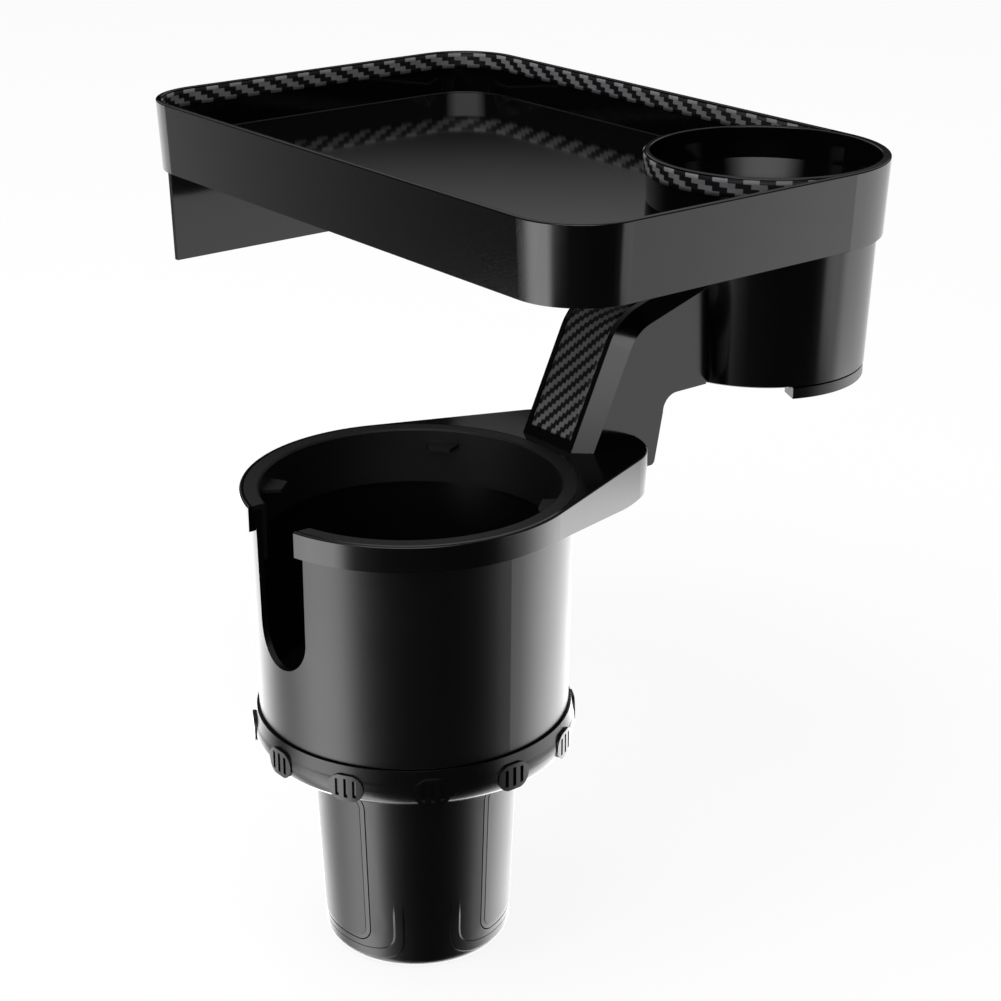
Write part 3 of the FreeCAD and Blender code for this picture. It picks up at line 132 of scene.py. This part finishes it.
angle = add(tree, "ShaderNodeMath", {0: split.outputs["Y"], 1: split.outputs["X"]}, operation="ARCTAN2")
along = add(tree, "ShaderNodeMath", {0: angle.outputs[0], 1: 1.0 / (2.0 * math.pi), 2: 0.5},
            operation="MULTIPLY_ADD")
lift = add(tree, "ShaderNodeMapRange", {"Value": split.outputs["Z"], **tray_wall_from},
           interpolation_type="SMOOTHSTEP")
low = add(tree, "ShaderNodeMix", {"Factor": lift.outputs[0], 6: tent_wall(tree, along.outputs[0], low_wall),
                                  7: tent_wall(tree, along.outputs[0], tray_wall)}, data_type="RGBA")
glow = add(tree, "ShaderNodeMapRange", {"Value": split.outputs["Z"], **high_wall_lit}).outputs[0]
glow = add(tree, "ShaderNodeCombineColor", {0: glow, 1: glow, 2: glow})
high = add(tree, "ShaderNodeMix", {"Factor": 1.0, 6: tent_wall(tree, along.outputs[0], high_wall),
                                   7: glow.outputs[0]}, data_type="RGBA", blend_type="MULTIPLY")
rise = add(tree, "ShaderNodeMapRange", {"Value": split.outputs["Z"], **high_wall_from},
           interpolation_type="SMOOTHSTEP")
wall = add(tree, "ShaderNodeMix", {"Factor": rise.outputs[0], 6: low.outputs[2], 7: high.outputs[2]},
           data_type="RGBA")
top = add(tree, "ShaderNodeMapRange", {"Value": split.outputs["Z"], **ceiling_from},
          interpolation_type="SMOOTHSTEP")
tent = add(tree, "ShaderNodeMix", {"Factor": top.outputs[0], 6: wall.outputs[2], 7: ceiling_tone},
           data_type="RGBA")
rays = add(tree, "ShaderNodeLightPath")
tent_light = add(tree, "ShaderNodeBackground", {"Color": tent.outputs[2], "Strength": tent_peak})
soft_light = add(tree, "ShaderNodeBackground", {"Color": white, "Strength": 0.55})
backdrop = add(tree, "ShaderNodeBackground", {"Color": white, "Strength": 1.0})
seen = add(tree, "ShaderNodeMath", {0: rays.outputs["Is Camera Ray"], 1: rays.outputs["Is Transmission Ray"]},
           operation="MAXIMUM")
mirrored = add(tree, "ShaderNodeMixShader", {0: rays.outputs["Is Glossy Ray"], 1: soft_light.outputs[0],
                                             2: tent_light.outputs[0]})
shown = add(tree, "ShaderNodeMixShader", {0: seen.outputs[0], 1: mirrored.outputs[0], 2: backdrop.outputs[0]})
add(tree, "ShaderNodeOutputWorld", {"Surface": shown.outputs[0]})


def grid_piece(name, places, flats=None):
    """Make a surface from a grid of points of shape (rows, columns, 3), with a UV place for each point.

    Each face joins grid point (i, j) to (i + 1, j), (i + 1, j + 1) and (i, j + 1).
    """
    rows, columns = places.shape[:2]
    index = np.arange(rows * columns).reshape(rows, columns)
    faces = np.stack([index[:-1, :-1], index[1:, :-1], index[1:, 1:], index[:-1, 1:]], axis=-1).reshape(-1, 4)
    mesh = bpy.data.meshes.new(name)
    mesh.from_pydata(places.reshape(-1, 3), [], faces.tolist())
    if flats is not None:
        layer = mesh.uv_layers.new(name="flat")
        layer.data.foreach_set("uv", flats.reshape(-1, 2)[faces.reshape(-1)].ravel())
    mesh.shade_smooth()
    piece = bpy.data.objects.new(name, mesh)
    bpy.context.scene.collection.objects.link(piece)
    return piece


floor_reach = 8.0
floor_centre = 0.001
floor_drop = 0.0004
spread, around = np.meshgrid(np.linspace(0.0, 1.0, 9), np.linspace(0.0, 2.0 * math.pi, 65), indexing="ij")
spread = floor_reach * spread ** 2 + floor_centre
sweep = grid_piece("sweep", np.stack([spread * np.cos(around), spread * np.sin(around),
                                      np.full_like(spread, -floor_drop)], axis=-1))
sweep.visible_glossy = False
paper = bpy.data.materials.new("white_paper_sweep")
tree = empty_tree(paper)
rays = add(tree, "ShaderNodeLightPath")
matt = add(tree, "ShaderNodeBsdfDiffuse", {"Color": linear("#f4f4f4")})
bright = add(tree, "ShaderNodeEmission", {"Color": white, "Strength": 1.0})
share = add(tree, "ShaderNodeMath", {0: rays.outputs["Is Camera Ray"], 1: 0.9}, operation="MULTIPLY")
mixed = add(tree, "ShaderNodeMixShader", {0: share.outputs[0], 1: matt.outputs[0], 2: bright.outputs[0]})
add(tree, "ShaderNodeOutputMaterial", {"Surface": mixed.outputs[0]})
sweep.data.materials.append(paper)

# One wide soft lamp from above and in front gives the matt parts their light.
softbox_place = np.array([-0.2, -0.5, 1.7])
softbox_aim = np.array([-0.05, 0.08, 0.15])
lamp = bpy.data.lights.new("overhead_softbox", "AREA")
lamp.shape = "RECTANGLE"
lamp.size, lamp.size_y = 1.4, 1.4
lamp.energy = 26.0
softbox = bpy.data.objects.new("overhead_softbox", lamp)
gaze = softbox_aim - softbox_place
softbox.location = softbox_place
softbox.rotation_euler = (math.atan2(math.hypot(gaze[0], gaze[1]), -gaze[2]), 0.0,
                          math.atan2(-gaze[0], gaze[1]))
softbox.visible_camera = False
softbox.visible_glossy = False
bpy.context.scene.collection.objects.link(softbox)


# Plug, cup body, adjuster ring and swivel cap
# Injection-moulded black ABS with a fine spark-eroded skin, satin: streaks are soft-edged.
wave_size = 1.0 / 45.0


def moulded(name, colour, roughness, grain, depth, unevenness=0.03):
    """Moulded black plastic or rubber.  Height follows the tool's grain, and roughness slow waves.

    Grain and depth are in metres.  The material comes with its tree, its shader and its bump, so
    that a piece can add a detail of its own.
    """
    material = bpy.data.materials.new(name)
    tree = empty_tree(material)
    place = add(tree, "ShaderNodeTexCoord").outputs["Object"]
    fine = add(tree, "ShaderNodeTexNoise", {"Vector": place, "Scale": 1.0 / grain, "Detail": 2.0})
    slow = add(tree, "ShaderNodeTexNoise", {"Vector": place, "Scale": 1.0 / wave_size, "Detail": 2.0})
    rough = add(tree, "ShaderNodeMapRange", {"Value": slow.outputs[0], "To Min": roughness - unevenness,
                                             "To Max": roughness + unevenness})
    bump = add(tree, "ShaderNodeBump", {"Height": fine.outputs[0], "Distance": depth, "Strength": 0.6})
    skin = add(tree, "ShaderNodeBsdfPrincipled",
               {"Base Color": linear(colour), "Roughness": rough.outputs[0], "IOR": 1.5,
                "Normal": bump.outputs[0]})
    add(tree, "ShaderNodeOutputMaterial", {"Surface": skin.outputs[0]})
    return material, tree, skin, bump


def dress(names, material):
    """Give CAD nodes one material in every slot."""
    for name in names:
        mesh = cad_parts[name].data
        if not mesh.materials:
            mesh.materials.append(material)
        for slot in range(len(mesh.materials)):
            mesh.materials[slot] = material


satin = ("#060607", 0.31, 0.0006, 0.000012)
gloss_black = "#050506"
satin_abs = moulded("satin_moulded_abs", *satin)[0]
dress(["cup_body", "swivel_cap", "foot_a", "foot_b", "foot_c"], satin_abs)
glossy_abs = moulded("glossy_moulded_abs_ring", gloss_black, 0.23, 0.0008, 0.000006)[0]
dress(["adjuster_ring"], glossy_abs)

# The plug has a low U-shaped rib round the foot of each window, which fades upwards.  Its two
# edges follow (u / half width) ** 4 + (drop / knee) ** 4 = 1: u is the arc from the window's middle,
# and drop the depth below the knee, where the edge starts to turn.
plug_radius = 0.0315
rib_height = 0.0003
rib_edges = ((0.0220, 0.0058, 0.010), (0.0252, 0.0024, 0.012))
rib_fade = {"From Min": 0.026, "From Max": 0.016}
rib_softness = 0.015
window_heading = 30.0
window_spacing = 120.0
core_abs, tree, skin, bump = moulded("satin_moulded_abs_plug", *satin)
place = add(tree, "ShaderNodeTexCoord").outputs["Object"]
split = add(tree, "ShaderNodeSeparateXYZ", {0: place})
angle = add(tree, "ShaderNodeMath", {0: split.outputs["Y"], 1: split.outputs["X"]}, operation="ARCTAN2")
wrapped = add(tree, "ShaderNodeMath", {0: angle.outputs[0],
                                       1: math.radians(window_heading + window_spacing / 2),
                                       2: math.radians(window_heading - window_spacing / 2)},
              operation="WRAP")
offset = add(tree, "ShaderNodeMath", {0: wrapped.outputs[0], 1: math.radians(window_heading)},
             operation="SUBTRACT")
arc = add(tree, "ShaderNodeMath", {0: offset.outputs[0]}, operation="ABSOLUTE")
edges = []
for half_width, foot, knee in rib_edges:
    across = add(tree, "ShaderNodeMath", {0: arc.outputs[0], 1: plug_radius / half_width},
                 operation="MULTIPLY")
    drop = add(tree, "ShaderNodeMath", {0: foot + knee, 1: split.outputs["Z"]}, operation="SUBTRACT")
    drop = add(tree, "ShaderNodeMath", {0: drop.outputs[0], 1: 0.0}, operation="MAXIMUM")
    drop = add(tree, "ShaderNodeMath", {0: drop.outputs[0], 1: 1.0 / knee}, operation="MULTIPLY")
    across = add(tree, "ShaderNodeMath", {0: across.outputs[0], 1: 4.0}, operation="POWER")
    drop = add(tree, "ShaderNodeMath", {0: drop.outputs[0], 1: 4.0}, operation="POWER")
    total = add(tree, "ShaderNodeMath", {0: across.outputs[0], 1: drop.outputs[0]}, operation="ADD")
    total = add(tree, "ShaderNodeMath", {0: total.outputs[0], 1: 0.25}, operation="POWER")
    edges.append(add(tree, "ShaderNodeMapRange", {"Value": total.outputs[0], "From Min": 1.0 - rib_softness,
                                                  "From Max": 1.0 + rib_softness},
                     interpolation_type="SMOOTHSTEP"))
rib = add(tree, "ShaderNodeMath", {0: edges[0].outputs[0], 1: edges[1].outputs[0]}, operation="SUBTRACT")
fade = add(tree, "ShaderNodeMapRange", {"Value": split.outputs["Z"], **rib_fade},
           interpolation_type="SMOOTHSTEP")
rib = add(tree, "ShaderNodeMath", {0: rib.outputs[0], 1: fade.outputs[0]}, operation="MULTIPLY")
raised = add(tree, "ShaderNodeBump", {"Height": rib.outputs[0], "Distance": rib_height, "Strength": 1.0,
                                      "Normal": bump.outputs[0]})
tree.links.new(raised.outputs[0], skin.inputs["Normal"])
dress(["base_core"], core_abs)


# Collar, arm and tray
# Injection-moulded black ABS from a polished tool, with nothing over it: streaks have crisp edges.
polished_abs = moulded("polished_moulded_abs", gloss_black, 0.12, 0.0012, 0.000003, 0.02)[0]
dress(["collar", "arm_body", "arm_cover"], polished_abs)

# The tray is polished further, like a mirror; its near wall keeps a fine orange peel.
peel_behind = 0.031
peel_size = 1.0 / 1800.0
peel_depth = 0.00003
tray_abs, tree, skin, bump = moulded("polished_moulded_abs_tray", gloss_black, 0.06, 0.0012, 0.000002, 0.01)
place = add(tree, "ShaderNodeTexCoord").outputs["Object"]
split = add(tree, "ShaderNodeSeparateXYZ", {0: place})
near_wall = add(tree, "ShaderNodeMath", {0: split.outputs["Y"], 1: peel_behind}, operation="LESS_THAN")
peel = add(tree, "ShaderNodeTexNoise", {"Vector": place, "Scale": 1.0 / peel_size, "Detail": 3.0})
peel = add(tree, "ShaderNodeMath", {0: peel.outputs[0], 1: near_wall.outputs[0]}, operation="MULTIPLY")
rough_wall = add(tree, "ShaderNodeBump", {"Height": peel.outputs[0], "Distance": peel_depth, "Strength": 1.0,
                                          "Normal": bump.outputs[0]})
tree.links.new(rough_wall.outputs[0], skin.inputs["Normal"])
dress(["tray"], tray_abs)


# Liner and foot pads
# Black moulded rubber, matt, with a fine bloom.
rubber = moulded("moulded_rubber", "#070708", 0.50, 0.0005, 0.00002)[0]
dress(["cup_liner"], rubber)
pad_rubber = moulded("moulded_pad_rubber", "#09090a", 0.38, 0.0005, 0.000012)[0]
dress(["foot_pad_a", "foot_pad_b", "foot_pad_c"], pad_rubber)


# Screws
# Turned steel, zinc-plated and clear-passivated: a fine uneven sheen.  They sit inside the plug,
# under the collar and under the cap, and show from below.
zinc = bpy.data.materials.new("zinc_plated_steel")
tree = empty_tree(zinc)
place = add(tree, "ShaderNodeTexCoord").outputs["Object"]
fine = add(tree, "ShaderNodeTexNoise", {"Vector": place, "Scale": 900.0, "Detail": 3.0})
rough = add(tree, "ShaderNodeMapRange", {"Value": fine.outputs[0], "To Min": 0.28, "To Max": 0.42})
skin = add(tree, "ShaderNodeBsdfPrincipled", {"Base Color": linear("#b9bcc0"), "Metallic": 1.0,
                                              "Roughness": rough.outputs[0]})
add(tree, "ShaderNodeOutputMaterial", {"Surface": skin.outputs[0]})
dress(["base_screws", "arm_screws", "cap_screws"], zinc)


# Twill panel of the arm
# A self-adhesive film printed as a twill weave, laid in a shallow recess.  It follows the arm's
# face: up the leaning part, round the bend and along the part under the tray.
film_thickness = 0.0004


def twill(name, wide, tall, run, lean):
    """Printed twill in cells of wide x tall metres, inked light or dark, each cell a little uneven.

    Cell (i, j) is light where (i + lean * j) mod (2 * run) < run.
    """
    material = bpy.data.materials.new(name)
    tree = empty_tree(material)
    flat = add(tree, "ShaderNodeUVMap", uv_map="flat").outputs[0]
    scaled = add(tree, "ShaderNodeVectorMath", {0: flat, 1: (1.0 / wide, 1.0 / tall, 1.0)},
                 operation="MULTIPLY").outputs[0]
    whole = add(tree, "ShaderNodeVectorMath", {0: scaled}, operation="FLOOR").outputs[0]
    cells = add(tree, "ShaderNodeSeparateXYZ", {0: whole})
    shift = add(tree, "ShaderNodeMath", {0: cells.outputs["Y"], 1: lean, 2: cells.outputs["X"]},
                operation="MULTIPLY_ADD")
    repeat = add(tree, "ShaderNodeMath", {0: shift.outputs[0], 1: 2.0 * run}, operation="FLOORED_MODULO")
    dark = add(tree, "ShaderNodeMath", {0: repeat.outputs[0], 1: run - 0.5}, operation="GREATER_THAN")
    speck = add(tree, "ShaderNodeTexWhiteNoise", {"Vector": whole}, noise_dimensions="2D")
    fine = add(tree, "ShaderNodeTexNoise", {"Vector": scaled, "Scale": 5.0, "Detail": 3.0})
    tone = add(tree, "ShaderNodeMath", {0: speck.outputs[0], 1: fine.outputs[0]}, operation="ADD")
    tone = add(tree, "ShaderNodeMapRange", {"Value": tone.outputs[0], "From Max": 2.0, "To Min": 0.82,
                                            "To Max": 1.12})
    ink = add(tree, "ShaderNodeMix", {"Factor": dark.outputs[0], 6: linear("#6a6a6c"), 7: linear("#121214")},
              data_type="RGBA")
    ink = add(tree, "ShaderNodeVectorMath", {0: ink.outputs[2], "Scale": tone.outputs[0]}, operation="SCALE")
    skin = add(tree, "ShaderNodeBsdfPrincipled", {"Base Color": ink.outputs[0], "Roughness": 0.42,
                                                  "Specular IOR Level": 0.2})
    add(tree, "ShaderNodeOutputMaterial", {"Surface": skin.outputs[0]})
    return material


def thicken(piece):
    """Give a film its thickness, on the side away from the eye."""
    shell = piece.modifiers.new("thickness", "SOLIDIFY")
    shell.thickness = film_thickness
    shell.offset = -1.0


# The arm's face starts at face_foot (y, z); its two parts would meet at knee_height.
lean_angle = math.radians(64.9)
rise_angle = math.radians(17.2)
face_foot = np.array([0.0565, 0.164])
knee_height = 0.2067
bend_radius = 0.019
panel_drop = 0.0001
panel_half = 0.0104
panel_foot = 0.1673
panel_end = 0.1119
low_way = np.array([math.cos(lean_angle), math.sin(lean_angle)])
high_way = np.array([math.cos(rise_angle), math.sin(rise_angle)])
knee = face_foot + (knee_height - face_foot[1]) / low_way[1] * low_way
reach = bend_radius * math.tan((lean_angle - rise_angle) / 2)
bend_start = knee - reach * low_way
bend_centre = bend_start + bend_radius * np.array([low_way[1], -low_way[0]])


def arm_face(along):
    """Points (y, z) of the arm's face by the share along it, with their length along it.

    A straight run at lean_angle, a bend of bend_radius about bend_centre, and a straight run at
    rise_angle: P = centre + r (-sin a, cos a) in the bend, a falling from lean to rise.
    """
    inner = bend_radius - panel_drop
    first = bend_centre + inner * np.array([-low_way[1], low_way[0]])
    last = bend_centre + inner * np.array([-high_way[1], high_way[0]])
    run_one = (first[1] - panel_foot) / low_way[1]
    run_two = inner * (lean_angle - rise_angle)
    run_three = (panel_end - last[0]) / high_way[0]
    length = along * (run_one + run_two + run_three)
    swing = lean_angle - np.clip((length - run_one) / inner, 0.0, lean_angle - rise_angle)
    bend = bend_centre + inner * np.stack([-np.sin(swing), np.cos(swing)], axis=-1)
    before = np.minimum(length - run_one, 0.0)[..., None] * low_way
    after = np.maximum(length - run_one - run_two, 0.0)[..., None] * high_way
    return bend + before + after, length


share, side = np.meshgrid(np.linspace(0.0, 1.0, 121), np.linspace(-1.0, 1.0, 9), indexing="ij")
points, length = arm_face(share)
panel = grid_piece("twill_panel",
                   np.stack([-panel_half * side, points[..., 0], points[..., 1]], axis=-1),
                   np.stack([panel_half * -side, length], axis=-1))
panel.data.materials.append(twill("printed_twill_film_panel", 0.00125, 0.00155, 2.0, -1.0))
thicken(panel)
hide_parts("arm_insert")
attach(panel, "holder")


# Twill bands of the tray
# The same film in a band round the inside of the tray's walls and round the second cup.
tray_left, tray_right = -0.223, 0.0434
tray_front, tray_back = 0.0289, 0.1974
tray_rim = 0.2499
tray_corner = 0.026
draft = math.tan(math.radians(2.85))
tray_skin = 0.0022
band_gap = 0.00042
band_low, band_top = 0.2430, 0.2492
band_start = 0.1423
band_end = -0.0119
band_film = twill("printed_twill_film_band", 0.0027, 0.0016, 2.0, 1.0)


def tray_line(inset, rows):
    """Plan points of the tray's wall moved inward by inset: one end, three corner arcs, the other end.

    A corner's arc is P = C + (R - inset) (cos a, sin a), a turning by 90 degrees clockwise.
    """
    turn = np.linspace(0.0, 1.0, rows)[:, None]
    corners = ((tray_right - tray_corner, tray_front + tray_corner, 0.0),
               (tray_left + tray_corner, tray_front + tray_corner, -90.0),
               (tray_left + tray_corner, tray_back - tray_corner, -180.0))
    radius = tray_corner - inset
    parts = [np.stack([tray_right - inset, np.full_like(inset, band_start)], axis=-1)[None]]
    for x, y, start in corners:
        swing = np.radians(start - 90.0 * turn)
        parts.append(np.stack([x + radius * np.cos(swing), y + radius * np.sin(swing)], axis=-1))
    parts.append(np.stack([np.full_like(inset, band_end), tray_back - inset], axis=-1)[None])
    return np.concatenate(parts, axis=0)


heights = np.linspace(band_low, band_top, 5)
inset = (tray_rim - heights) * draft + tray_skin + band_gap
plan = tray_line(inset, 25)
steps = np.linalg.norm(np.diff(plan[:, 0], axis=0), axis=-1)
length = np.concatenate([[0.0], np.cumsum(steps)])
places = np.concatenate([plan, np.broadcast_to(heights[None, :, None], plan.shape[:2] + (1,))], axis=-1)
flats = np.stack(np.broadcast_arrays(length[:, None], heights[None, :] - band_low), axis=-1)
tray_band = grid_piece("twill_tray_band", places, flats)
tray_band.data.materials.append(band_film)
thicken(tray_band)
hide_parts("tray_trim")
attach(tray_band, "tray_top")

cup_axis = 0.154
cup_band_radius = 0.04262
cup_band_ends = (-250.0, -20.5)
swing, height = np.meshgrid(np.radians(np.linspace(*cup_band_ends, 93)), heights, indexing="ij")
cup_band = grid_piece("twill_cup_band",
                      np.stack([cup_band_radius * np.cos(swing), cup_axis + cup_band_radius * np.sin(swing),
                                height], axis=-1),
                      np.stack([swing * cup_band_radius, height - band_low], axis=-1))
cup_band.data.materials.append(band_film)
thicken(cup_band)
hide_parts("cup_trim")
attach(cup_band, "tray_top")
